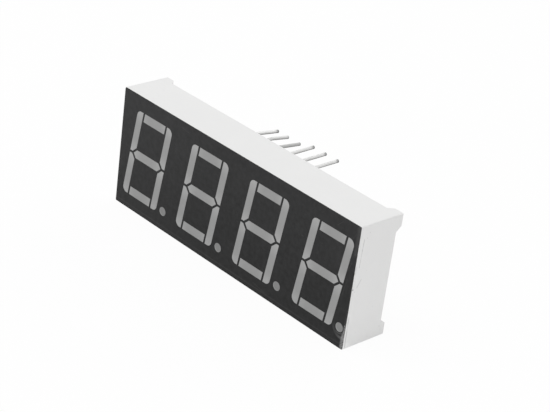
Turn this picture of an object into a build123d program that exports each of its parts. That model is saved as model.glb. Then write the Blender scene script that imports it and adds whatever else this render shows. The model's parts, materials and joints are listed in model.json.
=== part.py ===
"""Four-digit seven-segment display module with 14.2 mm digits and twelve pins.

The module stands upright on its long lower side, with its face towards -Y and its pins
towards +Y. X runs along the digits and Z up them. The origin is the middle of the pin
field, in the seating plane that the tips of the four rear feet define.

A moulded white housing holds 32 cavities, one for each segment and decimal point. Milky
resin fills them, and goes on behind them round a small circuit board, so that the resin is
one casting. The board carries a light-emitting die and a bond wire for each cavity, and the
twelve pins, which are bare in the casting and tinned behind it.
"""

from build123d import *
import os
from dataclasses import dataclass
from math import atan, degrees, hypot, radians, tan

# Digits
digit_count = 4
digit_pitch = 12.7
digit_row_shift = 0.35
digit_height = 14.2
digit_width = 8.08
digit_slant = 8.0
upright_width = 1.28
bar_height = 1.39
segment_gap = 0.37
upright_parting = 0.38
digit_corner_round = 0.85

# Middle bar, from the uprights' inner edge: how far its shoulder stops short and its tip goes on
middle_shoulder_short = 0.245
middle_tip_beyond = 0.405

# Decimal points, and the gap between one and its digit's slanted edge
point_diameter = 1.38
point_gap = 0.79

# Pins, and how far their rows lie above and below the digits
pin_pitch = 2.54
pins_in_row = 6
pin_row_beyond_digit = 0.52
pin_diameter = 0.5
pin_tin_thickness = 0.02
pin_behind_seat = 6.25
pin_bend_radius = 2.0

# Pins that were knocked downwards: where the bend starts behind the seat, its angle, and how
# much sooner than the others the pin ends
bent_pins = {12: (1.1, 7.4, 0), 11: (2.7, 8.5, 0.35), 10: (1.2, 6.2, 0.35)}

# Housing, outside: the gap left between modules in a row, and the long sides beyond the pins
module_gap = 0.5
long_side_beyond_pins = 1.905
face_to_seat = 8.0
foot_rise = 0.9
side_edge_round = 0.2
front_edge_round = 0.05

# Feet: flat tip, measured from the corner, and how far each flank spreads to the rim
foot_tip_length = 1.6
foot_tip_height = 1.9
foot_flank = 0.72

# Housing, inside
end_wall = 0.65
long_wall = 0.9
recess_depth = 2.4
recess_corner_cut = 2.0
cavity_draft = 2.5
cavity_corner_cut = 0.4
rib_rise = 0.2
rib_width = 0.8
rib_height_on_face = 10.0

# Black face film
film_thickness = 0.1

# Circuit board and its copper
board_thickness = 0.8
board_clearance = 0.2
copper_thickness = 0.035
common_track_width = 0.4
segment_track_width = 0.2
bond_pad_side = 0.3

# Dice and bond wires
die_side = 0.28
die_height = 0.2
bond_span = 0.5
wire_width = 0.03
wire_rise = 0.2

# Resin
resin_below_rim = 0.3

# Sizes that follow from the ones above
pin_row_spacing = digit_height + 2 * pin_row_beyond_digit
housing_length = digit_count * digit_pitch - module_gap
housing_height = pin_row_spacing + 2 * long_side_beyond_pins
recess_length = housing_length - 2 * end_wall
recess_height = housing_height - 2 * long_wall
pin_core_diameter = pin_diameter - 2 * pin_tin_thickness

# Levels along Y, from the face to the seat
face_level = -face_to_seat
housing_front = face_level + film_thickness
rim_level = -foot_rise
recess_floor = rim_level - recess_depth
board_front = recess_floor + rib_rise
board_back = board_front + board_thickness
resin_back = rim_level - resin_below_rim
copper_front = board_front - copper_thickness
die_front = copper_front - die_height


@dataclass
class Light:
    """One lit area of the face.

    The window is its outline in the face, and the cavity the body behind that outline.
    The die's place and the bond wire's direction are given as X and Z.
    """

    name: str
    digit: int
    window: Sketch
    cavity: Part
    die: tuple
    lead: tuple

    def bond(self):
        """Place of the bond pad, as X and Z."""
        x, z = self.die
        return (x + bond_span * self.lead[0], z + bond_span * self.lead[1])


def lean(x, z):
    """Point of an upright digit after the digit's slant."""
    return (x + z * tan(radians(digit_slant)), z)


def face_plane(level):
    """Plane parallel to the face, with X along the digits and its own Y up them."""
    return Plane(origin=(0, level, 0), x_dir=(1, 0, 0), z_dir=(0, -1, 0))


def slab(outline, front, back):
    """Straight body from one level to another behind it."""
    return extrude(face_plane(front) * outline, amount=front - back)


def tapered_slab(outline, front, back, taper, level):
    """Body with flat flanks that close in from front to back; it has the outline at one level."""
    body = slab(outline, front, back)
    flanks = body.faces().sort_by(Axis.Y)[1:-1]
    return draft(flanks, face_plane(level), -taper)


def rod(x, z, diameter, front, back):
    """Round body along Y."""
    return slab(Pos(x, z) * Circle(diameter / 2), front, back)


def slanted_outline(corners):
    """Outline through the corners after the digit's slant."""
    return make_face(Polyline(*[lean(x, z) for x, z in corners], close=True))


def box_corners(width, height, middle=0):
    """Corners of an upright rectangle, with its middle at the given height."""
    low, high = middle - height / 2, middle + height / 2
    return [(-width / 2, low), (width / 2, low), (width / 2, high), (-width / 2, high)]


def cross_bar(middle):
    """Corners of the top or bottom bar of a digit."""
    length = digit_width - 2 * (upright_width + segment_gap)
    return box_corners(length, bar_height, middle)


def middle_bar_ends():
    """Distances of the middle bar's shoulders and tips from the digit's middle."""
    inner = digit_width / 2 - upright_width
    return inner - middle_shoulder_short, inner + middle_tip_beyond


def middle_bar():
    """Corners of the middle bar of a digit, pointed at both ends."""
    shoulder, tip = middle_bar_ends()
    half = bar_height / 2
    right = [(shoulder, -half), (tip, 0), (shoulder, half)]
    return right + [(-x, -z) for x, z in right]


def upright(side, level):
    """Corners of an upright: side is 1 on the right, -1 on the left, and level 1 above, -1 below.

    Its inner end is cut parallel to the middle bar's point, one segment gap away.
    """
    inner = digit_width / 2 - upright_width
    outer = digit_width / 2
    shoulder, tip = middle_bar_ends()
    run = tip - shoulder
    rise = bar_height / 2
    reach = tip + segment_gap * hypot(run, rise) / rise
    parting = upright_parting / 2
    corners = [
        (inner, (reach - inner) * rise / run),
        (reach - parting * run / rise, parting),
        (outer, parting),
        (outer, digit_height / 2),
        (inner, digit_height / 2),
    ]
    return [(side * x, level * z) for x, z in corners]


def segment(name, digit, centre, corners, end, die, lead):
    """Light with flat cavity walls.

    The corner at its outer end, if it has one, is round in the window and cut straight in
    the cavity. That end and the die are given in the digit before its slant.
    """
    window = cavity_front = slanted_outline(corners)
    if end:
        corner = window.vertices().sort_by_distance((*lean(*end), 0))[0]
        window = fillet(corner, digit_corner_round)
        cavity_front = chamfer(corner, cavity_corner_cut)
    place = Pos(centre, 0)
    cavity_front = place * cavity_front
    cavity = tapered_slab(cavity_front, housing_front, recess_floor, cavity_draft, housing_front)
    x, z = lean(*die)
    return Light(name, digit, place * window, cavity, (centre + x, z), lead)


def decimal_point(digit, centre):
    """Round light at the lower right of a digit."""
    level = (point_diameter - digit_height) / 2
    x = centre + lean(digit_width / 2, level)[0] + point_gap + point_diameter / 2
    window = Pos(x, level) * Circle(point_diameter / 2)
    cavity = slab(window, housing_front, recess_floor)
    return Light("p", digit, window, cavity, (x, level), (0, 1))


def digit_lights(digit):
    """The seven segments and the decimal point of one digit, numbered from the left."""
    centre = digit_row_shift + (digit - (digit_count + 1) / 2) * digit_pitch
    side, end = digit_width / 2, digit_height / 2
    bar_level = end - bar_height / 2
    upright_level = (digit_height + upright_parting) / 4
    upright_middle = side - upright_width / 2
    segments = [
        ("a", cross_bar(bar_level), None, (0, bar_level), (-1, 0)),
        ("b", upright(1, 1), (side, end), (upright_middle, upright_level), (0, 1)),
        ("c", upright(1, -1), (side, -end), (upright_middle, -upright_level), (0, -1)),
        ("d", cross_bar(-bar_level), None, (0, -bar_level), (-1, 0)),
        ("e", upright(-1, -1), (-side, -end), (-upright_middle, -upright_level), (0, 1)),
        ("f", upright(-1, 1), (-side, end), (-upright_middle, upright_level), (0, -1)),
        ("g", middle_bar(), None, (0, 0), (-1, 0)),
    ]
    lights = []
    for name, corners, outer_end, die, lead in segments:
        lights.append(segment(name, digit, centre, corners, outer_end, die, lead))
    return lights + [decimal_point(digit, centre)]


def housing_outline():
    """Outer section of the housing."""
    return RectangleRounded(housing_length, housing_height, side_edge_round)


def recess_outline():
    """Section of the rear recess, whose corners are cut off to carry the feet."""
    opening = Rectangle(recess_length, recess_height)
    return chamfer(opening.vertices(), length=recess_corner_cut)


def board_outline():
    """Outline of the circuit board, one clearance inside the recess."""
    return offset(recess_outline(), amount=-board_clearance, kind=Kind.INTERSECTION)


def pin_places():
    """Number, X and Z of each pin: along the lower row, then back along the upper one."""
    first = (pins_in_row - 1) * pin_pitch / 2
    places = []
    for i in range(pins_in_row):
        places.append((i + 1, -first + i * pin_pitch, -pin_row_spacing / 2))
    for i in range(pins_in_row):
        places.append((pins_in_row + i + 1, first - i * pin_pitch, pin_row_spacing / 2))
    return places


def board_ribs():
    """Low slanted ribs on the recess floor, midway between the digits, that the board lies on."""
    outline = slanted_outline(box_corners(rib_width, rib_height_on_face))
    ribs = []
    for i in range(1, digit_count):
        between = digit_row_shift + (i - digit_count / 2) * digit_pitch
        ribs.append(slab(Pos(between, 0) * outline, recess_floor, board_front))
    return ribs


def foot(side, level):
    """Corner foot: it stands on the wall only, and its flanks spread from the tip to the rim."""
    x = side * (housing_length - foot_tip_length) / 2
    z = level * (housing_height - foot_tip_height) / 2
    tip = Pos(x, z) * Rectangle(foot_tip_length, foot_tip_height)
    spread = degrees(atan(foot_flank / foot_rise))
    wall = slab(housing_outline() - recess_outline(), rim_level, 0)
    return tapered_slab(tip, rim_level, 0, spread, 0) & wall


def reflector_housing(lights):
    """White moulding: cavities, rear recess, four feet and the ribs under the board."""
    block = slab(housing_outline(), housing_front, rim_level)
    block = fillet(block.faces().sort_by(Axis.Y)[0].edges(), front_edge_round)
    block = block - slab(recess_outline(), recess_floor, rim_level)
    feet = [foot(side, level) for side in (-1, 1) for level in (-1, 1)]
    block = block + feet + board_ribs()
    return block - [light.cavity for light in lights]


def windows(lights):
    """Bodies that fill the film's openings."""
    return [slab(light.window, face_level, housing_front) for light in lights]


def face_film(lights):
    """Black film on the flat of the face, open at each segment and decimal point."""
    outline = offset(housing_outline(), amount=-front_edge_round)
    return slab(outline, face_level, housing_front) - windows(lights)


def circuit_board():
    """Board with a hole for each pin."""
    holes = [rod(x, z, pin_core_diameter, board_front, board_back) for _, x, z in pin_places()]
    return slab(board_outline(), board_front, board_back) - holes


def level_track(x0, x1, z, width):
    """Outline of a track along X, squared half its width beyond each end."""
    return Pos((x0 + x1) / 2, z) * Rectangle(abs(x1 - x0) + width, width)


def digit_common(lights):
    """Front copper of one digit: it joins the undersides of the eight dice."""
    die = {light.name: light.die for light in lights}
    spine_length = digit_height - bar_height + common_track_width
    spine = slanted_outline(box_corners(common_track_width, spine_length))
    rows = [("f", "b"), ("e", "c"), ("d", "p")]
    branches = [level_track(die[i][0], die[j][0], die[i][1], common_track_width) for i, j in rows]
    return slab(Pos(*die["g"]) * spine + branches, copper_front, board_front)


def bond_pad(light):
    """Front pad on which a bond wire ends."""
    outline = Pos(*light.bond()) * Rectangle(bond_pad_side, bond_pad_side)
    return slab(outline, copper_front, board_front)


def segment_line(lights):
    """Back copper of one segment, along all four digits at the level of its bond pads."""
    first, last = lights[0].bond(), lights[-1].bond()
    bar = level_track(first[0], last[0], first[1], segment_track_width)
    return slab(bar, board_back, board_back + copper_thickness)


def die_body(light):
    """Light-emitting die on its pad."""
    x, z = light.die
    return slab(Pos(x, z) * Rectangle(die_side, die_side), die_front, copper_front)


def bond_wire(light):
    """Wire from the top of a die: straight up, then sloping down onto its bond pad."""
    (x0, z0), (x1, z1) = light.die, light.bond()
    below_pad_top = copper_front + copper_thickness / 2
    corners = [(x0, die_front, z0), (x0, die_front - wire_rise, z0), (x1, below_pad_top, z1)]
    section = Plane(origin=corners[0], x_dir=(1, 0, 0), z_dir=(0, -1, 0))
    square = section * Rectangle(wire_width, wire_width)
    wire = sweep(square, path=Polyline(*corners), transition=Transition.RIGHT)
    return wire - bond_pad(light)


def pin(number, x, z):
    """Pin from the board's front face, tinned from the rim on, bent downwards where knocked."""
    if number in bent_pins:
        start, angle, shortfall = bent_pins[number]
        end = pin_behind_seat - shortfall
        drop = (end - start) * tan(radians(angle))
        corners = [(x, rim_level, z), (x, start, z), (x, end, z - drop)]
        path = FilletPolyline(*corners, radius=pin_bend_radius)
    else:
        path = Line((x, rim_level, z), (x, pin_behind_seat, z))
    section = Plane(origin=path @ 0, x_dir=(1, 0, 0), z_dir=path % 0)
    tinned = sweep(section * Circle(pin_diameter / 2), path=path)
    return tinned + rod(x, z, pin_core_diameter, board_front, rim_level)


def resin_fill(lights, enclosed):
    """The casting: every cavity and the recess, less all that the resin was poured round."""
    pool = slab(recess_outline(), recess_floor, resin_back)
    filled = pool + ([light.cavity for light in lights] + windows(lights))
    return filled - (board_ribs() + enclosed)


def write(nodes):
    """Write one file for each node."""
    os.makedirs("parts", exist_ok=True)
    for name, shape in nodes.items():
        bodies = shape if isinstance(shape, list) else [shape]
        whole = Compound(children=[solid for body in bodies for solid in body.solids()])
        export_step(whole, f"parts/{name}.step")


def main():
    digits = [digit_lights(digit) for digit in range(1, digit_count + 1)]
    lights = [light for digit in digits for light in digit]

    inside = {"circuit_board": circuit_board()}
    inside["digit_commons"] = [digit_common(digit) for digit in digits]
    inside["bond_pads"] = [bond_pad(light) for light in lights]
    inside["segment_lines"] = [segment_line(same) for same in zip(*digits)]
    for light in lights:
        inside[f"die_{light.digit}{light.name}"] = die_body(light)
    for number, digit in enumerate(digits, start=1):
        inside[f"bond_wires_{number}"] = [bond_wire(light) for light in digit]
    for number, x, z in pin_places():
        inside[f"pin_{number:02d}"] = pin(number, x, z)

    enclosed = []
    for shape in inside.values():
        enclosed += shape if isinstance(shape, list) else [shape]

    nodes = {
        "reflector_housing": reflector_housing(lights),
        "face_film": face_film(lights),
        "resin_fill": resin_fill(lights, enclosed),
    }
    write(nodes | inside)


main()
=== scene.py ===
"""Looks of a four-digit seven-segment display module, in metres, in the frame of its CAD model.

The module stands on its long lower side, with its face towards -Y, its pins along +Y and Z
up. Each class dresses one group of its pieces. Finishes are worked out in millimetres from
the place on the module, so that every mark stays where it is from any side.
"""

import json
import logging
import math
from collections.abc import Iterable, Mapping, Sequence
from dataclasses import dataclass
from enum import Enum
from functools import reduce

import bpy
from mathutils import Matrix, Vector

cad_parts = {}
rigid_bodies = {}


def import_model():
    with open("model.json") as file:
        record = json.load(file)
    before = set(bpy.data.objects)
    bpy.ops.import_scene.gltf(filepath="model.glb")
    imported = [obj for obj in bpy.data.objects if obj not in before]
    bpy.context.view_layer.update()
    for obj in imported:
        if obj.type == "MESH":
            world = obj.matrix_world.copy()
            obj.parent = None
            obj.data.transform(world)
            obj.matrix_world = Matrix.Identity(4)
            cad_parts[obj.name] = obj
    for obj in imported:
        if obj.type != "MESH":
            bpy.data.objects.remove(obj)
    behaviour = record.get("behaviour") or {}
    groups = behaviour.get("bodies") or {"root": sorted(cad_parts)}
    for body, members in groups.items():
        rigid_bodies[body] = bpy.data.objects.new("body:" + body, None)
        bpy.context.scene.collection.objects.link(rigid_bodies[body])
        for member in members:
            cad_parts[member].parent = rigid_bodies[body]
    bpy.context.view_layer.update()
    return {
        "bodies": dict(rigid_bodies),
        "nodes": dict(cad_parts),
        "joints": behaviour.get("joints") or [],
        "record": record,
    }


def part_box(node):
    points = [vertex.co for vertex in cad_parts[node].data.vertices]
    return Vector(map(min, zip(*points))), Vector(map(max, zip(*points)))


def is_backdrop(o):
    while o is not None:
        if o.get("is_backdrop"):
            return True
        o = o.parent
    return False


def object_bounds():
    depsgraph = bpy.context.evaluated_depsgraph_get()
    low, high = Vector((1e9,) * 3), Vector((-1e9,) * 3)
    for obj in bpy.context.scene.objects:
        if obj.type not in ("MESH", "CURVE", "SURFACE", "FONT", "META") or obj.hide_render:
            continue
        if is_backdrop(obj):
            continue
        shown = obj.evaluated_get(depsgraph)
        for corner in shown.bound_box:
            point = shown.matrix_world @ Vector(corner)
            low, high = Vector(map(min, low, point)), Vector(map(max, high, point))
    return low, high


MM = 0.001

HOUSING = "reflector_housing"
FILM = "face_film"
CASTING = "resin_fill"
BOARD = "circuit_board"
BACK_COPPER = "segment_lines"
SEGMENTS = "abcdefg"
POINT = "p"

Colour = tuple[float, float, float]
Place = tuple[float, float, float]
Point = tuple[float, float]
Scratch = tuple[Point, Point]
# A step gives where it starts and ends; a fade gives its reach and how far it takes past it
Step = tuple[float, float]
Fade = tuple[float, float]
Frame = Mapping[str, Mapping[str, bpy.types.Object]]

log = logging.getLogger("display_module")


class Slot(Enum):
    """Material slots of the record."""

    WHITE_PLASTIC = "white_plastic"
    BLACK_FILM = "black_film"
    MILKY_RESIN = "milky_resin"
    BOARD_LAMINATE = "board_laminate"
    COPPER_FOIL = "copper_foil"
    TINNED_WIRE = "tinned_wire"
    DIE_CRYSTAL = "die_crystal"
    GOLD_WIRE = "gold_wire"


class Ray(Enum):
    """Kinds of ray that see the plain white surroundings."""

    CAMERA = "Is Camera Ray"
    GLOSSY = "Is Glossy Ray"
    TRANSMISSION = "Is Transmission Ray"


class Blend(Enum):
    """Ways to combine two colours."""

    MIX = "MIX"
    MULTIPLY = "MULTIPLY"


@dataclass(frozen=True)
class Value:
    """Output socket of a node; arithmetic on it adds Math nodes."""

    graph: "Graph"
    socket: bpy.types.NodeSocket

    def __add__(self, other: "Value | float") -> "Value":
        """Sum."""
        return self.graph.maths("ADD", self, other)

    def __radd__(self, other: float) -> "Value":
        """Sum with a number on the left."""
        return self.graph.maths("ADD", other, self)

    def __sub__(self, other: "Value | float") -> "Value":
        """Difference."""
        return self.graph.maths("SUBTRACT", self, other)

    def __rsub__(self, other: float) -> "Value":
        """Difference from a number on the left."""
        return self.graph.maths("SUBTRACT", other, self)

    def __mul__(self, other: "Value | float") -> "Value":
        """Product."""
        return self.graph.maths("MULTIPLY", self, other)

    def __rmul__(self, other: float) -> "Value":
        """Product with a number on the left."""
        return self.graph.maths("MULTIPLY", other, self)

    def __truediv__(self, other: "Value | float") -> "Value":
        """Quotient."""
        return self.graph.maths("DIVIDE", self, other)

    def __rtruediv__(self, other: float) -> "Value":
        """Quotient of a number on the left."""
        return self.graph.maths("DIVIDE", other, self)

    def __abs__(self) -> "Value":
        """Size without the sign."""
        return self.graph.maths("ABSOLUTE", self)

    def __or__(self, other: "Value | float") -> "Value":
        """The larger of two values."""
        return self.graph.maths("MAXIMUM", self, other)

    def __ror__(self, other: float) -> "Value":
        """The larger of a number on the left and a value."""
        return self.graph.maths("MAXIMUM", other, self)

    def __and__(self, other: "Value | float") -> "Value":
        """The smaller of two values."""
        return self.graph.maths("MINIMUM", self, other)

    def __rand__(self, other: float) -> "Value":
        """The smaller of a number on the left and a value."""
        return self.graph.maths("MINIMUM", other, self)


Input = Value | float | Sequence[float]


class Graph:
    """Node tree of a material or of the world."""

    def __init__(self, tree: bpy.types.NodeTree) -> None:
        """Empty the tree."""
        self.tree = tree
        tree.nodes.clear()

    def node(
        self,
        kind: str,
        settings: Mapping[str, object] | None = None,
        inputs: Mapping[str | int, Input] | None = None,
    ) -> bpy.types.Node:
        """Add a node.

        Args:
            kind: the node's type.
            settings: its attributes, which are set first.
            inputs: a value or a link for each socket, by name or number.

        Returns:
            The new node.
        """
        node = self.tree.nodes.new(kind)
        for name, setting in (settings or {}).items():
            setattr(node, name, setting)
        for key, given in (inputs or {}).items():
            if isinstance(given, Value):
                self.tree.links.new(given.socket, node.inputs[key])
            else:
                node.inputs[key].default_value = given
        return node

    def output(
        self,
        key: str | int,
        kind: str,
        settings: Mapping[str, object] | None = None,
        inputs: Mapping[str | int, Input] | None = None,
    ) -> Value:
        """Add a node and take one of its outputs.

        Args:
            key: the output's name or number.
            kind: the node's type.
            settings: its attributes, which are set first.
            inputs: a value or a link for each socket, by name or number.

        Returns:
            The output.
        """
        return Value(self, self.node(kind, settings, inputs).outputs[key])

    def maths(self, operation: str, *terms: "Value | float") -> Value:
        """Add a Math node."""
        return self.output(0, "ShaderNodeMath", {"operation": operation}, dict(enumerate(terms)))


class Surface(Graph):
    """Node tree of a material, which knows the place on the module in millimetres."""

    noise_roughness: float = 0.55

    def __init__(self, slot: Slot) -> None:
        """Make the material of a slot.

        Args:
            slot: the slot, which names it.
        """
        self.material = bpy.data.materials.new(slot.value)
        self.material.use_nodes = True
        super().__init__(self.material.node_tree)
        metres = self.output("Object", "ShaderNodeTexCoord")
        self.place = self.scaled(metres, 1 / MM)
        self.x, self.y, self.z = self.split(self.place)
        self.face = Plane(self, self.x, self.z)
        self.side = Plane(self, self.y, self.z)

    def split(self, vector: Value) -> tuple[Value, ...]:
        """The three parts of a vector."""
        parts = self.node("ShaderNodeSeparateXYZ", inputs={0: vector})
        return tuple(Value(self, socket) for socket in parts.outputs)

    def scaled(self, vector: "Value | Colour", factor: "Value | float") -> Value:
        """Vector or colour times a factor."""
        settings = {"operation": "SCALE"}
        return self.output(0, "ShaderNodeVectorMath", settings, {0: vector, "Scale": factor})

    def noise(
        self,
        size: float,
        detail: float = 2.0,
        stretch: Sequence[float] = (1.0, 1.0, 1.0),
        shift: float = 0.0,
    ) -> Value:
        """Cloudy pattern between 0 and 1, about 0.5 on average.

        Args:
            size: size of its clouds, in millimetres.
            detail: how many finer layers it has.
            stretch: how much finer it is along each axis.
            shift: moves it, so that two patterns differ.

        Returns:
            The pattern.
        """
        scales = tuple(share / size for share in stretch)
        mapping = {"Vector": self.place, "Scale": scales, "Location": (shift,) * 3}
        inputs = {
            "Vector": self.output(0, "ShaderNodeMapping", inputs=mapping),
            "Scale": 1.0,
            "Detail": detail,
            "Roughness": self.noise_roughness,
        }
        return self.output(0, "ShaderNodeTexNoise", inputs=inputs)

    def rise(self, value: Value, low: float, high: float) -> Value:
        """Smooth step.

        Args:
            value: what is compared.
            low: where the step starts at 0.
            high: where it ends at 1.

        Returns:
            The step.
        """
        inputs = {"Value": value, "From Min": low, "From Max": high}
        return self.output(0, "ShaderNodeMapRange", {"interpolation_type": "SMOOTHSTEP"}, inputs)

    def within(self, value: Value, reach: float, soft: float) -> Value:
        """Mask that is 1 up to a reach and falls to 0 over a soft edge past it."""
        return 1.0 - self.rise(value, reach, reach + soft)

    def line(self, value: Value, place: float, width: float, soft: float) -> Value:
        """Mask of a line of full width where a coordinate has one value, with soft edges."""
        return self.within(abs(value - place), width / 2, soft)

    def blend(
        self,
        kind: Blend,
        factor: "Value | float",
        first: "Value | Colour",
        second: "Value | Colour",
    ) -> Value:
        """Combine two colours.

        Args:
            kind: how they are combined.
            factor: how much of the second is used.
            first: the colour below.
            second: the colour above.

        Returns:
            The combined colour.
        """
        below, above = (c if isinstance(c, Value) else (*c, 1.0) for c in (first, second))
        settings = {"data_type": "RGBA", "blend_type": kind.value}
        return self.output(2, "ShaderNodeMix", settings, {0: factor, 6: below, 7: above})

    def bump(self, height: Value, depth: float, strength: float = 1.0) -> Value:
        """Relief.

        Args:
            height: its height between 0 and 1.
            depth: the height of 1, in millimetres.
            strength: how much of it is used.

        Returns:
            The normal.
        """
        inputs = {"Height": height, "Distance": depth * MM, "Strength": strength}
        return self.output(0, "ShaderNodeBump", inputs=inputs)

    def finish(self, inputs: Mapping[str, Input]) -> bpy.types.Material:
        """Close the material with a Principled shader.

        Args:
            inputs: the shader's sockets.

        Returns:
            The finished material.
        """
        shader = self.output(0, "ShaderNodeBsdfPrincipled", inputs=inputs)
        self.node("ShaderNodeOutputMaterial", inputs={"Surface": shader})
        return self.material


@dataclass(frozen=True)
class Plane:
    """Two coordinates of a surface, for the marks on one side of the module."""

    surface: Surface
    across: Value
    upward: Value

    def distance(self, centre: Point) -> Value:
        """Distance from a point."""
        dx, dz = self.across - centre[0], self.upward - centre[1]
        return self.surface.maths("SQRT", dx * dx + dz * dz)

    def spots(self, centres: Iterable[Point], reach: float, soft: float) -> Value:
        """Mask of round spots with soft edges."""
        return any_of(self.surface.within(self.distance(c), reach, soft) for c in centres)

    def streak(self, scratch: Scratch, width: float) -> Value:
        """Mask of a straight scratch.

        Args:
            scratch: its two ends.
            width: its full width.

        Returns:
            The mask.
        """
        start, end = scratch
        length = math.dist(start, end)
        ux, uz = (end[0] - start[0]) / length, (end[1] - start[1]) / length
        dx, dz = self.across - start[0], self.upward - start[1]
        run = dx * ux + dz * uz
        off = abs(dx * uz - dz * ux)
        body = self.surface.within(off, width / 2, width / 2)
        ends = self.surface.within(abs(run - length / 2), length / 2 - width, width * 2)
        return body * ends

    def streaks(self, scratches: Iterable[Scratch], width: float) -> Value:
        """Mask of several scratches."""
        return any_of(self.streak(scratch, width) for scratch in scratches)


def die(digit: int, light: str) -> str:
    """Name of the die behind a segment or a decimal point."""
    return f"die_{digit}{light}"


def pin(number: int) -> str:
    """Name of a pin."""
    return f"pin_{number:02d}"


def corners_mm(node: str) -> tuple[Vector, Vector]:
    """Lowest and highest corner of a CAD node, in millimetres."""
    low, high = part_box(node)
    return low / MM, high / MM


def middle_mm(node: str) -> Vector:
    """Middle of a CAD node's box, in millimetres."""
    low, high = corners_mm(node)
    return (low + high) / 2


def on_face(node: str) -> Point:
    """Place of a CAD node as seen on the face, in millimetres."""
    middle = middle_mm(node)
    return middle.x, middle.z


def any_of(masks: Iterable[Value]) -> Value:
    """The largest of several masks."""
    return reduce(lambda first, second: first | second, masks)


@dataclass(frozen=True)
class Finish:
    """Finish of a material slot; its sizes are in millimetres."""

    slot: Slot

    def material(self) -> bpy.types.Material:
        """Build the material."""
        raise NotImplementedError


@dataclass(frozen=True)
class WhitePlastic(Finish):
    """Moulded white plastic with a few light handling marks and a streak of painted shade on its
    right side.
    """

    slot: Slot = Slot.WHITE_PLASTIC
    colour: Colour = (0.83, 0.83, 0.826)
    mottle: float = 0.03
    mottle_size: float = 5.0
    roughness: float = 0.5
    roughness_spread: float = 0.12
    cloud_size: float = 1.5
    specular: float = 0.35
    grain_size: float = 0.12
    grain_depth: float = 0.004
    mark_colour: Colour = (0.30, 0.30, 0.30)
    dust_size: float = 0.25
    dust_steps: Step = (0.82, 0.88)
    dust_share: float = 0.12
    rubs: tuple[Scratch, ...] = (
        ((-7.06, 7.5), (-7.21, 3.2)),
        ((-7.65, -4.4), (-7.54, -9.3)),
    )
    rub_width: float = 0.09
    rub_share: float = 0.50
    rub_gap_size: float = 1.1
    rub_gap_steps: Step = (0.42, 0.55)
    rub_gap_share: float = 0.35
    scratches: tuple[Scratch, ...] = (
        ((-6.41, 1.22), (-7.06, 0.04)),
        # this second streak is painted shade along the side's front edge, beside the film
        ((-7.74, 3.58), (-7.83, 2.25)),
    )
    scratch_width: float = 0.13
    scratch_share: float = 0.24
    specks: tuple[Point, ...] = ((-6.14, 8.29), (-6.51, 7.54), (-7.33, -0.53), (-1.09, -7.85))
    speck_reach: float = 0.05
    speck_soft: float = 0.05
    speck_share: float = 0.3
    nick: Point = (-7.78, -0.07)
    nick_reach: float = 0.09
    nick_share: float = 0.8
    pale_corner: Point = (-7.3, -9.4)
    pale_reach: float = 0.65
    pale_soft: float = 0.35
    pale_lift: float = 0.07
    pale_depth: float = 0.35
    mark_depth: float = 0.30
    full_depth: float = 0.15

    def on_side(self, s: Surface, depth: float) -> Value:
        """Mask of the right side, which starts at a depth inside it."""
        right = corners_mm(HOUSING)[1].x
        return s.rise(s.x, right - depth, right - self.full_depth)

    def marks(self, s: Surface) -> Value:
        """Rubbed lines, a scratch, a streak of painted shade beside the front edge, specks and a
        nick on the right side.

        Args:
            s: the material being built.

        Returns:
            The mask.
        """
        gaps = s.rise(s.noise(self.rub_gap_size, detail=3.0, shift=4.0), *self.rub_gap_steps)
        broken = self.rub_gap_share + (1.0 - self.rub_gap_share) * gaps
        shares = (
            s.side.streaks(self.rubs, self.rub_width) * broken * self.rub_share,
            s.side.streaks(self.scratches, self.scratch_width) * self.scratch_share,
            s.side.spots(self.specks, self.speck_reach, self.speck_soft) * self.speck_share,
            s.side.spots([self.nick], self.nick_reach, self.speck_soft) * self.nick_share,
        )
        return any_of(shares) * self.on_side(s, self.mark_depth)

    def material(self) -> bpy.types.Material:
        """Build the material from the housing's box.

        Returns:
            The material.
        """
        s = Surface(self.slot)
        dust = s.rise(s.noise(self.dust_size, detail=0.0, shift=2.0), *self.dust_steps)
        marks = self.marks(s) | dust * self.dust_share
        pale = s.side.spots([self.pale_corner], self.pale_reach, self.pale_soft)
        pale = pale * self.on_side(s, self.pale_depth)
        mottle = self.mottle * s.noise(self.mottle_size, detail=3.0)
        base = s.scaled(self.colour, 1.0 - self.mottle / 2 + mottle + self.pale_lift * pale)
        cloud = s.noise(self.cloud_size, detail=3.0, shift=6.0) - 0.5
        grain = s.noise(self.grain_size, shift=1.0)
        return s.finish(
            {
                "Base Color": s.blend(Blend.MIX, marks, base, self.mark_colour),
                "Roughness": self.roughness + self.roughness_spread * cloud,
                "Specular IOR Level": self.specular,
                "Normal": s.bump(grain, self.grain_depth),
            }
        )


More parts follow.
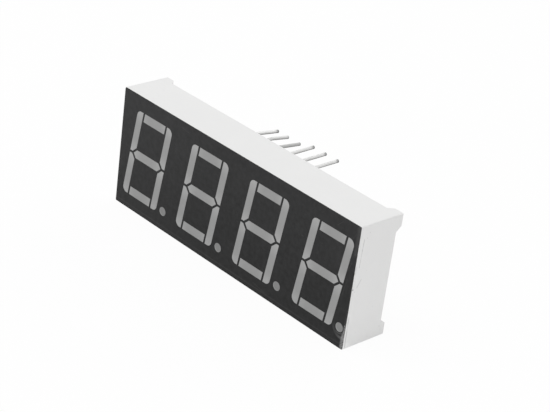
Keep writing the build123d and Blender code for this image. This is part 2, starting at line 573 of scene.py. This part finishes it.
@dataclass(frozen=True)
class RubbedEdge:
    """Speckled strip rubbed off the film's right edge, wider towards the lower corner.

    Its starts and the steps of its widening are measured downwards from the module's middle.
    """

    start: float = 5.6
    start_fade: float = 0.5
    width: float = 0.20
    edge_steps: Step = (-0.20, 0.16)
    widening: float = 0.27
    widening_steps: Step = (6.2, 7.9)
    ragged: float = 0.30
    ragged_size: float = 0.5
    share: float = 0.80
    speckle_size: float = 0.14
    speckle_steps: Step = (0.36, 0.62)
    speckle_floor: float = 0.32
    holes: tuple[Point, ...] = ((25.02, -8.28), (25.08, -8.72), (25.1, -9.07))
    hole_reach: float = 0.06
    hole_share: float = 0.8
    specks: tuple[Point, ...] = ((24.98, -5.75), (25.05, -7.82))
    speck_reach: float = 0.07
    speck_share: float = 0.8
    soft: float = 0.06
    trace_start: float = 2.5
    trace_width: float = 0.35
    trace_share: float = 0.14

    def mask(self, s: Surface, right: float) -> Value:
        """Work out the mask.

        Args:
            s: the material being built.
            right: the film's right edge.

        Returns:
            The mask.
        """
        down = -1.0 * s.z
        widening = s.rise(down, *self.widening_steps) * self.widening
        ragged = self.ragged * (s.noise(self.ragged_size, detail=3.0, shift=3.0) - 0.5)
        strip = s.rise(s.x - right + self.width + widening + ragged, *self.edge_steps)
        strip = strip * s.rise(down, self.start, self.start + self.start_fade)
        speckle = s.rise(s.noise(self.speckle_size, detail=3.0, shift=8.0), *self.speckle_steps)
        speckle = self.speckle_floor + (1.0 - self.speckle_floor) * speckle
        holes = s.face.spots(self.holes, self.hole_reach, self.soft)
        specks = s.face.spots(self.specks, self.speck_reach, self.soft)
        trace = s.rise(down, self.trace_start, self.start)
        trace = trace * s.rise(s.x, right - self.trace_width, right) * self.trace_share
        worn = strip * speckle * self.share * (1.0 - self.hole_share * holes)
        return worn | specks * self.speck_share | trace * speckle


@dataclass(frozen=True)
class PointRings:
    """Pale rings beside the last decimal point: a broad outer one and a short inner one."""

    digit: int = 4
    outer_offset: Point = (0.39, 0.10)
    outer_radius: float = 1.52
    outer_width: float = 0.26
    outer_soft: float = 0.16
    outer_side: Fade = (-0.1, 0.9)
    upper_share: float = 0.28
    upper_steps: Step = (-2.2, -0.8)
    lower_share: float = 0.60
    lower_steps: Step = (0.2, 2.0)
    inner_offset: float = 0.1
    inner_radius: float = 0.92
    inner_width: float = 0.12
    inner_soft: float = 0.07
    inner_slope: float = 0.6
    inner_steps: Step = (0.1, 0.7)
    inner_share: float = 0.70

    def outer(self, s: Surface, point: Point) -> Value:
        """Broad ring at the lower left, strongest underneath.

        Args:
            s: the material being built.
            point: the decimal point's place.

        Returns:
            The mask.
        """
        centre = (point[0] + self.outer_offset[0], point[1] + self.outer_offset[1])
        away = s.face.distance(centre)
        dx, dz = s.x - centre[0], s.z - centre[1]
        upper = self.upper_share * s.rise(dx - dz, *self.upper_steps)
        lower = self.lower_share * s.rise(dx - dz, *self.lower_steps)
        ring = s.line(away, self.outer_radius, self.outer_width, self.outer_soft)
        return ring * s.within(dx + dz, *self.outer_side) * (upper + lower)

    def inner(self, s: Surface, point: Point) -> Value:
        """Short ring close under the point.

        Args:
            s: the material being built.
            point: the decimal point's place.

        Returns:
            The mask.
        """
        away = s.face.distance(point)
        ring = s.line(away, self.inner_radius, self.inner_width, self.inner_soft)
        below = (point[1] - s.z) - self.inner_slope * abs(s.x - point[0] - self.inner_offset)
        return ring * s.rise(below, *self.inner_steps) * self.inner_share

    def mask(self, s: Surface) -> Value:
        """Mask of both rings."""
        point = on_face(die(self.digit, POINT))
        return self.outer(s, point) | self.inner(s, point)


@dataclass(frozen=True)
class EdgeSheenAndSpeck:
    """Painted sheen down the upper part of the film's right edge, palest at the corner, and one
    pale speck.
    """

    width: float = 0.75
    full_share: float = 0.5
    foot: float = 4.6
    foot_fade: float = 0.8
    share: float = 0.26
    corner: Point = (25.1, 8.9)
    corner_reach: float = 0.9
    corner_share: float = 0.45
    speck: Point = (24.77, 5.24)
    speck_reach: float = 0.05
    speck_soft: float = 0.10
    speck_share: float = 0.55

    def mask(self, s: Surface, right: float) -> Value:
        """Work out the mask.

        Args:
            s: the material being built.
            right: the film's right edge.

        Returns:
            The mask.
        """
        # painted sheen: the strip and the corner stand for light on the bevelled edge; the speck
        # is a real mark
        corner = s.face.spots([self.corner], 0.0, self.corner_reach) * self.corner_share
        strip = s.rise(s.x, right - self.width, right - self.full_share * self.width)
        strip = strip * s.rise(s.z, self.foot, self.foot + self.foot_fade) * self.share
        speck = s.face.spots([self.speck], self.speck_reach, self.speck_soft) * self.speck_share
        return corner | strip | speck


@dataclass(frozen=True)
class BlackFilm(Finish):
    """Matt black film with a rubbed right edge, two pale rings, hairs and light scratches, and
    painted light: brighter at the left and top, with a painted highlight above the lower edge
    and painted sheen down the right edge.
    """

    slot: Slot = Slot.BLACK_FILM
    colour: Colour = (0.0113, 0.0113, 0.0116)
    mark_and_sheen_colour: Colour = (0.10, 0.10, 0.10)
    rubbed_colour: Colour = (0.36, 0.36, 0.36)
    left_painted_light: float = 0.50
    left_fade: Fade = (-25.0, 30.0)
    upper_painted_light: float = 0.9
    upper_steps: Step = (-9.5, 9.5)
    mottle: float = 2.4
    mottle_size: float = 0.8
    roughness: float = 0.55
    cloud_roughness: float = 0.1
    rubbed_roughness: float = 0.2
    specular: float = 0.25
    cloud_size: float = 3.5
    cloud_steps: Step = (0.45, 0.75)
    cloud_share: float = 0.06
    grain_size: float = 0.09
    grain_depth: float = 0.003
    rubbed_relief: float = 0.5
    # painted highlight: a pale line just above the film's lower edge, for light on its raised
    # rim
    highlight_above_bottom: float = 0.68
    highlight_width: float = 0.05
    highlight_soft: float = 0.16
    highlight_share: float = 0.16
    hair_size: float = 0.35
    hair_stretch: Place = (0.25, 1.0, 1.0)
    hair_steps: Step = (0.72, 0.80)
    hair_share: float = 0.15
    scratches: tuple[Scratch, ...] = (
        ((24.47, 8.22), (23.81, 6.97)),
        ((21.9, 8.9), (20.9, 7.9)),
        ((24.5, 3.9), (24.0, 2.6)),
        ((24.1, 1.2), (23.6, -1.6)),
        ((6.6, -8.2), (9.3, -8.6)),
        ((-11.8, 8.5), (-9.9, 8.2)),
    )
    scratch_width: float = 0.05
    scratch_share: float = 0.22
    rubbed_edge: RubbedEdge = RubbedEdge()
    rings: PointRings = PointRings()
    edge_sheen_and_speck: EdgeSheenAndSpeck = EdgeSheenAndSpeck()

    def marks_and_sheen(self, s: Surface, cloud: Value) -> Value:
        """Everything on the film that is paler, apart from the rubbed edge: real marks, and the
        painted highlight and sheen along its edges.

        Args:
            s: the material being built.
            cloud: the film's slow clouds.

        Returns:
            The mask.
        """
        low, high = corners_mm(FILM)
        # painted highlight above the lower edge
        bottom_highlight = s.line(s.z, low.z + self.highlight_above_bottom, self.highlight_width, self.highlight_soft)
        hairs = s.noise(self.hair_size, detail=1.0, stretch=self.hair_stretch, shift=5.0)
        shares = (
            bottom_highlight * self.highlight_share,
            self.edge_sheen_and_speck.mask(s, high.x),
            self.rings.mask(s),
            s.face.streaks(self.scratches, self.scratch_width) * self.scratch_share,
            s.rise(hairs, *self.hair_steps) * self.hair_share,
            s.rise(cloud, *self.cloud_steps) * self.cloud_share,
        )
        return any_of(shares)

    def tone(self, s: Surface) -> Value:
        """Brightness of the film: a random mottle, and painted light that makes it a little
        brighter at the left and at the top.

        Args:
            s: the material being built.

        Returns:
            The brightness.
        """
        mottle = self.mottle * (s.noise(self.mottle_size, detail=4.0, shift=14.0) - 0.5)
        # painted light: brighter towards the left end and towards the top
        left = self.left_painted_light * s.within(s.x, *self.left_fade)
        upper = self.upper_painted_light * (s.rise(s.z, *self.upper_steps) - 0.5)
        return 1.0 + mottle + left + upper

    def material(self) -> bpy.types.Material:
        """Build the material from the film's box.

        Returns:
            The material.
        """
        s = Surface(self.slot)
        cloud = s.noise(self.cloud_size, detail=4.0)
        rubbed = self.rubbed_edge.mask(s, corners_mm(FILM)[1].x)
        base = s.scaled(self.colour, self.tone(s))
        colour = s.blend(Blend.MIX, self.marks_and_sheen(s, cloud), base, self.mark_and_sheen_colour)
        grain = s.noise(self.grain_size, shift=1.0) + self.rubbed_relief * rubbed
        roughness = self.roughness + self.cloud_roughness * (cloud - 0.5)
        return s.finish(
            {
                "Base Color": s.blend(Blend.MIX, rubbed, colour, self.rubbed_colour),
                "Roughness": roughness + self.rubbed_roughness * rubbed,
                "Specular IOR Level": self.specular,
                "Normal": s.bump(grain, self.grain_depth),
            }
        )


@dataclass(frozen=True)
class MilkyResin(Finish):
    """Unlit diffusing resin: mid grey with painted light and shade in the windows, paler on the
    back over the board.
    """

    slot: Slot = Slot.MILKY_RESIN
    colour: Colour = (0.317, 0.317, 0.315)
    even_share: float = 0.94
    cloud_size: float = 1.8
    cloud_share: float = 0.07
    slow_size: float = 14.0
    slow_share: float = 0.05
    end_painted_light: float = 0.26
    end_steps: Step = (1.0, 3.6)
    point_reach: float = 1.0
    point_soft: float = 0.1
    point_shaded_level: float = 0.72
    rim_painted_highlight: float = 0.42
    rim_shift: float = 0.10
    rim_start: float = 0.62
    rim_soft: float = 0.12
    back_steps: Step = (-3.0, -2.0)
    back_colour: Colour = (0.56, 0.55, 0.49)
    back_cloud_size: float = 2.6
    back_even_share: float = 0.93
    back_cloud_share: float = 0.14
    track_colour: Colour = (0.50, 0.42, 0.31)
    track_width: float = 0.22
    track_soft: float = 0.18
    track_end_soft: float = 0.3
    track_share: float = 0.35
    pins_in_row: int = 6
    collar_reach: float = 0.62
    collar_shade_colour: Colour = (0.6, 0.6, 0.58)
    collar_shade_share: float = 0.35
    collar_relief: float = 2.0
    wave_size: float = 2.2
    wave_depth: float = 0.05
    wave_strength: float = 0.6
    roughness: float = 0.4
    roughness_spread: float = 0.1
    back_gloss: float = 0.12
    specular: float = 0.4

    def windows(self, s: Surface) -> Value:
        """Painted light of the windows: segments are palest at their ends and shaded in their
        middles, points are shaded, with a painted highlight at one rim.

        Args:
            s: the material being built.

        Returns:
            The brightness, 1 in the middle of a segment.
        """
        first, second = middle_mm(die(1, "g")), middle_mm(die(2, "g"))
        pitch = second.x - first.x
        folded = s.x - pitch * s.maths("ROUND", (s.x - first.x) / pitch)
        digit = Plane(s, folded, s.z)
        distances = (digit.distance(on_face(die(1, name))) for name in SEGMENTS)
        nearest = reduce(lambda one, other: one & other, distances)
        # painted light: segment ends brighter than the shaded middles over the dice
        segment = 1.0 + self.end_painted_light * s.rise(nearest, *self.end_steps)
        x, z = on_face(die(1, POINT))
        in_point = digit.spots([(x, z)], self.point_reach, self.point_soft)
        rim = digit.distance((x + self.rim_shift, z + self.rim_shift))
        rim = s.rise(rim, self.rim_start, self.rim_start + self.rim_soft)
        # painted shade on the points, with a painted highlight at one rim
        point = self.point_shaded_level * (1.0 + self.rim_painted_highlight * rim)
        return segment + in_point * (point - segment)

    def back(self, s: Surface) -> Value:
        """Colour of the back, where the board's tracks show faintly.

        Args:
            s: the material being built.

        Returns:
            The colour.
        """
        rows = sorted({round(on_face(die(1, name))[1], 2) for name in SEGMENTS + POINT})
        low, high = corners_mm(BACK_COPPER)
        tracks = any_of(s.line(s.z, row, self.track_width, self.track_soft) for row in rows)
        middle, half = (low.x + high.x) / 2, (high.x - low.x) / 2
        tracks = tracks * s.within(abs(s.x - middle), half, self.track_end_soft)
        tracks = tracks * self.track_share
        tinted = s.blend(Blend.MIX, tracks, self.back_colour, self.track_colour)
        cloud = s.noise(self.back_cloud_size, detail=4.0, shift=12.0)
        return s.scaled(tinted, self.back_even_share + self.back_cloud_share * cloud)

    def collars(self, s: Surface) -> Value:
        """Resin that was drawn up round each pin; it gets relief and painted shade round the
        pins' roots.

        Args:
            s: the material being built.

        Returns:
            The mask.
        """
        places = [on_face(pin(number + 1)) for number in range(self.pins_in_row)]
        across = any_of(s.within(abs(s.x - x), 0.0, self.collar_reach) for x, _ in places)
        row = abs(places[0][1])
        return across * s.within(abs(abs(s.z) - row), 0.0, self.collar_reach)

    def material(self) -> bpy.types.Material:
        """Build the material from the places of the dice and the pins.

        Returns:
            The material.
        """
        s = Surface(self.slot)
        cloud = s.noise(self.cloud_size, detail=3.0, shift=3.0)
        slow = s.noise(self.slow_size, detail=1.0, shift=7.0)
        tone = self.even_share + self.cloud_share * cloud + self.slow_share * slow
        front = s.scaled(self.colour, self.windows(s) * tone)
        collars = self.collars(s)
        # painted shade round the pins' roots on the back
        darker = collars * self.collar_shade_share
        back = s.blend(Blend.MULTIPLY, darker, self.back(s), self.collar_shade_colour)
        behind = s.rise(s.y, *self.back_steps)
        roughness = self.roughness - self.back_gloss * behind
        waves = s.noise(self.wave_size, detail=1.0, shift=5.0)
        waves = waves + self.collar_relief * collars * behind
        return s.finish(
            {
                "Base Color": s.blend(Blend.MIX, behind, front, back),
                "Roughness": roughness + self.roughness_spread * (cloud - 0.5),
                "Specular IOR Level": self.specular,
                "Normal": s.bump(waves, self.wave_depth, self.wave_strength),
            }
        )


@dataclass(frozen=True)
class Laminate(Finish):
    """Glass-fibre board with its weave."""

    slot: Slot = Slot.BOARD_LAMINATE
    colour: Colour = (0.62, 0.58, 0.40)
    even_share: float = 0.90
    weave_share: float = 0.08
    cloud_share: float = 0.08
    cloud_size: float = 1.2
    weave_pitch: float = 0.45
    weave_depth: float = 0.01
    roughness: float = 0.5
    weave_gloss: float = 0.1

    def material(self) -> bpy.types.Material:
        """Build the material.

        Returns:
            The material.
        """
        s = Surface(self.slot)
        turn = 2 * math.pi / self.weave_pitch
        weave = 0.5 + 0.25 * (s.maths("SINE", s.x * turn) + s.maths("SINE", s.z * turn))
        cloud = s.noise(self.cloud_size, detail=3.0)
        tone = self.even_share + self.weave_share * weave + self.cloud_share * cloud
        return s.finish(
            {
                "Base Color": s.scaled(self.colour, tone),
                "Roughness": self.roughness - self.weave_gloss * weave,
                "Normal": s.bump(weave, self.weave_depth),
            }
        )


@dataclass(frozen=True)
class Metal(Finish):
    """Plain metal with a cloudy tone and a fine grain."""

    colour: Colour
    roughness: float
    roughness_spread: float = 0.1
    cloud_size: float = 0.6
    tone_spread: float = 0.16
    grain_size: float = 0.08
    grain_depth: float = 0.003

    def material(self) -> bpy.types.Material:
        """Build the material.

        Returns:
            The material.
        """
        s = Surface(self.slot)
        cloud = s.noise(self.cloud_size, detail=3.0)
        tone = 1.0 - self.tone_spread / 2 + self.tone_spread * cloud
        return s.finish(
            {
                "Base Color": s.scaled(self.colour, tone),
                "Metallic": 1.0,
                "Roughness": self.roughness + self.roughness_spread * (cloud - 0.5),
                "Normal": s.bump(s.noise(self.grain_size, shift=2.0), self.grain_depth),
            }
        )


@dataclass(frozen=True)
class TinnedWire(Finish):
    """Tinned wire with drawn streaks along it, painted shade underneath, on its left side and
    over two upper pins, and painted shade at its cut ends for their rounding.
    """

    slot: Slot = Slot.TINNED_WIRE
    colour: Colour = (0.66, 0.66, 0.655)
    shade_and_dull_colour: Colour = (0.26, 0.26, 0.258)
    tip_shade_colour: Colour = (0.20, 0.20, 0.20)
    streak_size: float = 0.12
    streak_stretch: Place = (1.0, 0.12, 1.0)
    streak_depth: float = 0.006
    even_share: float = 0.92
    streak_share: float = 0.16
    cloud_size: float = 0.9
    cloud_steps: Step = (0.45, 0.80)
    cloud_share: float = 0.18
    under_fade: Fade = (-0.35, 0.60)
    left_fade: Fade = (-0.75, 0.5)
    left_share: float = 0.35
    root_share: float = 0.55
    root_steps: Step = (0.5, 3.5)
    shaded_pins: tuple[tuple[int, float], ...] = ((11, 0.18), (10, 0.50))
    shaded_width: float = 1.2
    shaded_soft: float = 0.3
    upper_steps: Step = (0.0, 1.0)
    end_length: float = 0.75
    end_past_tip: float = 0.1
    end_metal_loss: float = 0.5
    roughness: float = 0.36
    dull_roughness: float = 0.25
    end_roughness: float = 0.2

    def painted_shade(self, s: Surface) -> Value:
        """Mask of the painted shade on the underside and the left side, and on the upper pins
        that are shaded all round.

        Args:
            s: the material being built.

        Returns:
            The mask.
        """
        across, _, upward = s.split(s.output("Normal", "ShaderNodeTexCoord"))
        # painted shade: undersides and left sides, weaker near the pins' roots
        under = s.within(upward, *self.under_fade)
        under = under | s.within(across, *self.left_fade) * self.left_share
        behind_root = s.rise(s.y, *self.root_steps)
        under = under * (self.root_share + (1.0 - self.root_share) * behind_root)
        places = [(on_face(pin(number))[0], share) for number, share in self.shaded_pins]
        width, soft = self.shaded_width, self.shaded_soft
        rows = any_of(s.line(s.x, x, width, soft) * share for x, share in places)
        return under | rows * s.rise(s.z, *self.upper_steps)

    def material(self) -> bpy.types.Material:
        """Build the material from the pins' boxes.

        Returns:
            The material.
        """
        tip = corners_mm(pin(1))[1].y
        s = Surface(self.slot)
        streaks = s.noise(self.streak_size, stretch=self.streak_stretch)
        cloud = s.noise(self.cloud_size, detail=3.0, shift=4.0)
        # painted shade at the cut ends, standing for their rounded tips
        end = s.rise(s.y, tip - self.end_length, tip + self.end_past_tip)
        # painted shade mixed with random duller patches
        shade_and_dull = self.painted_shade(s) | s.rise(cloud, *self.cloud_steps) * self.cloud_share
        base = s.scaled(self.colour, self.even_share + self.streak_share * streaks)
        colour = s.blend(Blend.MIX, shade_and_dull, base, self.shade_and_dull_colour)
        roughness = self.roughness + self.dull_roughness * shade_and_dull
        return s.finish(
            {
                "Base Color": s.blend(Blend.MIX, end, colour, self.tip_shade_colour),
                "Metallic": 1.0 - self.end_metal_loss * end,
                "Roughness": roughness + self.end_roughness * end,
                "Normal": s.bump(streaks, self.streak_depth),
            }
        )


@dataclass(frozen=True)
class Crystal(Finish):
    """Light-emitting crystal with fine facets in two tones."""

    slot: Slot = Slot.DIE_CRYSTAL
    colour: Colour = (0.30, 0.28, 0.26)
    edge_colour: Colour = (0.12, 0.11, 0.10)
    facet_size: float = 0.06
    facet_steps: Step = (0.4, 0.6)
    facet_depth: float = 0.004
    roughness: float = 0.25

    def material(self) -> bpy.types.Material:
        """Build the material.

        Returns:
            The material.
        """
        s = Surface(self.slot)
        facets = s.noise(self.facet_size)
        bright = s.rise(facets, *self.facet_steps)
        return s.finish(
            {
                "Base Color": s.blend(Blend.MIX, bright, self.edge_colour, self.colour),
                "Roughness": self.roughness,
                "Normal": s.bump(facets, self.facet_depth),
            }
        )


def dress(frame: Frame, names: Iterable[str], finish: Finish) -> None:
    """Put a finish on a group of CAD nodes and report each piece.

    Args:
        names: the nodes.
        finish: their finish.
    """
    material = finish.material()
    for name in names:
        piece = frame["nodes"][name]
        if not piece.material_slots:
            piece.data.materials.append(material)
        for place in piece.material_slots:
            place.material = material
        log.info("%s: %s", name, finish.slot.value)


@dataclass
class ReflectorHousing:
    """White moulding with its feet."""

    finish: WhitePlastic = WhitePlastic()

    def build(self, frame: Frame) -> None:
        """Dress the housing."""
        dress(frame, [HOUSING], self.finish)


@dataclass
class Face:
    """Black film and the resin that shows in its windows."""

    film: BlackFilm = BlackFilm()
    resin: MilkyResin = MilkyResin()

    def build(self, frame: Frame) -> None:
        """Dress the film and the casting."""
        dress(frame, [FILM], self.film)
        dress(frame, [CASTING], self.resin)


@dataclass
class Board:
    """Circuit board with its copper."""

    laminate: Laminate = Laminate()
    copper: Metal = Metal(Slot.COPPER_FOIL, (0.72, 0.40, 0.25), roughness=0.35)
    copper_nodes: tuple[str, ...] = ("digit_commons", "bond_pads", BACK_COPPER)

    def build(self, frame: Frame) -> None:
        """Dress the board and its copper."""
        dress(frame, [BOARD], self.laminate)
        dress(frame, self.copper_nodes, self.copper)


@dataclass
class Emitters:
    """Dice and their bond wires."""

    digits: int = 4
    crystal: Crystal = Crystal()
    gold: Metal = Metal(Slot.GOLD_WIRE, (0.90, 0.70, 0.35), roughness=0.25, grain_size=0.02)

    def build(self, frame: Frame) -> None:
        """Dress every die and wire.
        """
        digits = range(1, self.digits + 1)
        dice = [die(digit, name) for digit in digits for name in SEGMENTS + POINT]
        dress(frame, dice, self.crystal)
        dress(frame, [f"bond_wires_{digit}" for digit in digits], self.gold)


@dataclass
class Pins:
    """Twelve tinned pins."""

    count: int = 12
    finish: TinnedWire = TinnedWire()

    def build(self, frame: Frame) -> None:
        """Dress every pin."""
        dress(frame, [pin(number + 1) for number in range(self.count)], self.finish)


@dataclass(frozen=True)
class SoftLamp:
    """Square area lamp that faces the module; its place and side are in metres."""

    name: str
    place: Place
    side: float
    watts: float

    def build(self) -> None:
        """Add the lamp."""
        data = bpy.data.lights.new(self.name, "AREA")
        data.size = self.side
        data.energy = self.watts
        lamp = bpy.data.objects.new(self.name, data)
        lamp.location = self.place
        lamp.rotation_mode = "QUATERNION"
        lamp.rotation_quaternion = (-Vector(self.place)).to_track_quat("-Z", "Y")
        bpy.context.scene.collection.objects.link(lamp)


@dataclass
class Studio:
    """Pale floor, white surroundings and soft lamps, in metres."""

    floor_side: float = 6.0
    floor_colour: Colour = (0.95, 0.95, 0.95)
    floor_white_share: float = 0.94
    sky_colour: Colour = (1.0, 1.0, 1.0)
    sky_strength: float = 0.64
    lamps: tuple[SoftLamp, ...] = (
        SoftLamp("key_lamp", (-0.12, -0.16, 0.42), side=0.30, watts=0.71),
        SoftLamp("fill_lamp", (0.40, -0.12, 0.06), side=0.30, watts=0.21),
        SoftLamp("back_lamp", (-0.10, 0.42, 0.24), side=0.30, watts=0.22),
    )

    @staticmethod
    def seen_rays(graph: Graph) -> Value:
        """1 for the rays that see the surroundings plain white."""
        rays = graph.node("ShaderNodeLightPath")
        return any_of(Value(graph, rays.outputs[ray.value]) for ray in Ray)

    def floor(self) -> None:
        """Build the floor under the module's lowest point."""
        half = self.floor_side / 2
        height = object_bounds()[0].z
        around = ((-half, -half), (half, -half), (half, half), (-half, half))
        mesh = bpy.data.meshes.new("floor")
        mesh.from_pydata([(x, y, height) for x, y in around], [], [(0, 1, 2, 3)])
        mesh.materials.append(self.floor_material())
        piece = bpy.data.objects.new("floor", mesh)
        bpy.context.scene.collection.objects.link(piece)
        piece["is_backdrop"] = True

    def floor_material(self) -> bpy.types.Material:
        """White floor that keeps part of the shadow.

        Returns:
            The material.
        """
        material = bpy.data.materials.new("floor_white")
        material.use_nodes = True
        g = Graph(material.node_tree)
        matt = g.output(0, "ShaderNodeBsdfDiffuse", inputs={"Color": (*self.floor_colour, 1.0)})
        plain = g.output(0, "ShaderNodeEmission", inputs={"Strength": 1.0})
        share = self.seen_rays(g) * self.floor_white_share
        mixed = g.output(0, "ShaderNodeMixShader", inputs={0: share, 1: matt, 2: plain})
        g.node("ShaderNodeOutputMaterial", inputs={"Surface": mixed})
        return material

    def sky(self) -> None:
        """Even world light that looks white."""
        world = bpy.data.worlds.new("studio")
        world.use_nodes = True
        bpy.context.scene.world = world
        g = Graph(world.node_tree)
        strength = self.sky_strength + self.seen_rays(g) * (1.0 - self.sky_strength)
        inputs = {"Color": (*self.sky_colour, 1.0), "Strength": strength}
        light = g.output(0, "ShaderNodeBackground", inputs=inputs)
        g.node("ShaderNodeOutputWorld", inputs={"Surface": light})

    def build(self) -> None:
        """Build the whole studio."""
        self.floor()
        self.sky()
        for lamp in self.lamps:
            lamp.build()
        log.info("studio: floor, sky and %d lamps", len(self.lamps))


@dataclass
class PhotoCamera:
    """Camera at the photograph's place, with its sizes in millimetres."""

    place: Place = (156.265, -160.155, 113.028)
    forward: Place = (-0.619913, 0.640196, -0.453715)
    up: Place = (-0.40986, 0.228892, 0.882963)
    focal_pixels: float = 1723.1
    image_width: float = 550.0
    sensor: float = 36.0
    nearest: float = 1.0
    farthest: float = 20000.0

    def turn(self) -> Matrix:
        """Rotation that looks forward with the right side up.

        Returns:
            The rotation.
        """
        forward = Vector(self.forward).normalized()
        right = forward.cross(Vector(self.up)).normalized()
        upright = right.cross(forward)
        return Matrix((right, upright, -forward)).transposed().to_4x4()

    def build(self) -> None:
        """Add the camera and look through it."""
        data = bpy.data.cameras.new("photo_camera")
        data.sensor_width = self.sensor
        data.lens = self.focal_pixels / self.image_width * self.sensor
        data.clip_start = self.nearest * MM
        data.clip_end = self.farthest * MM
        data.dof.use_dof = False
        camera = bpy.data.objects.new("photo_camera", data)
        camera.matrix_world = Matrix.Translation(Vector(self.place) * MM) @ self.turn()
        bpy.context.scene.collection.objects.link(camera)
        bpy.context.scene.camera = camera
        log.info("camera: %.1f mm lens", data.lens)


def main(frame: Frame) -> None:
    """Dress the module and set up the studio and the camera.
    """
    logging.basicConfig(level=logging.INFO, format="%(name)s %(message)s")
    bpy.context.scene.view_settings.view_transform = "Standard"
    for group in (ReflectorHousing(), Face(), Board(), Emitters(), Pins()):
        group.build(frame)
    Studio().build()
    PhotoCamera().build()


if __name__ == "__main__":
    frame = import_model()
    main(frame)
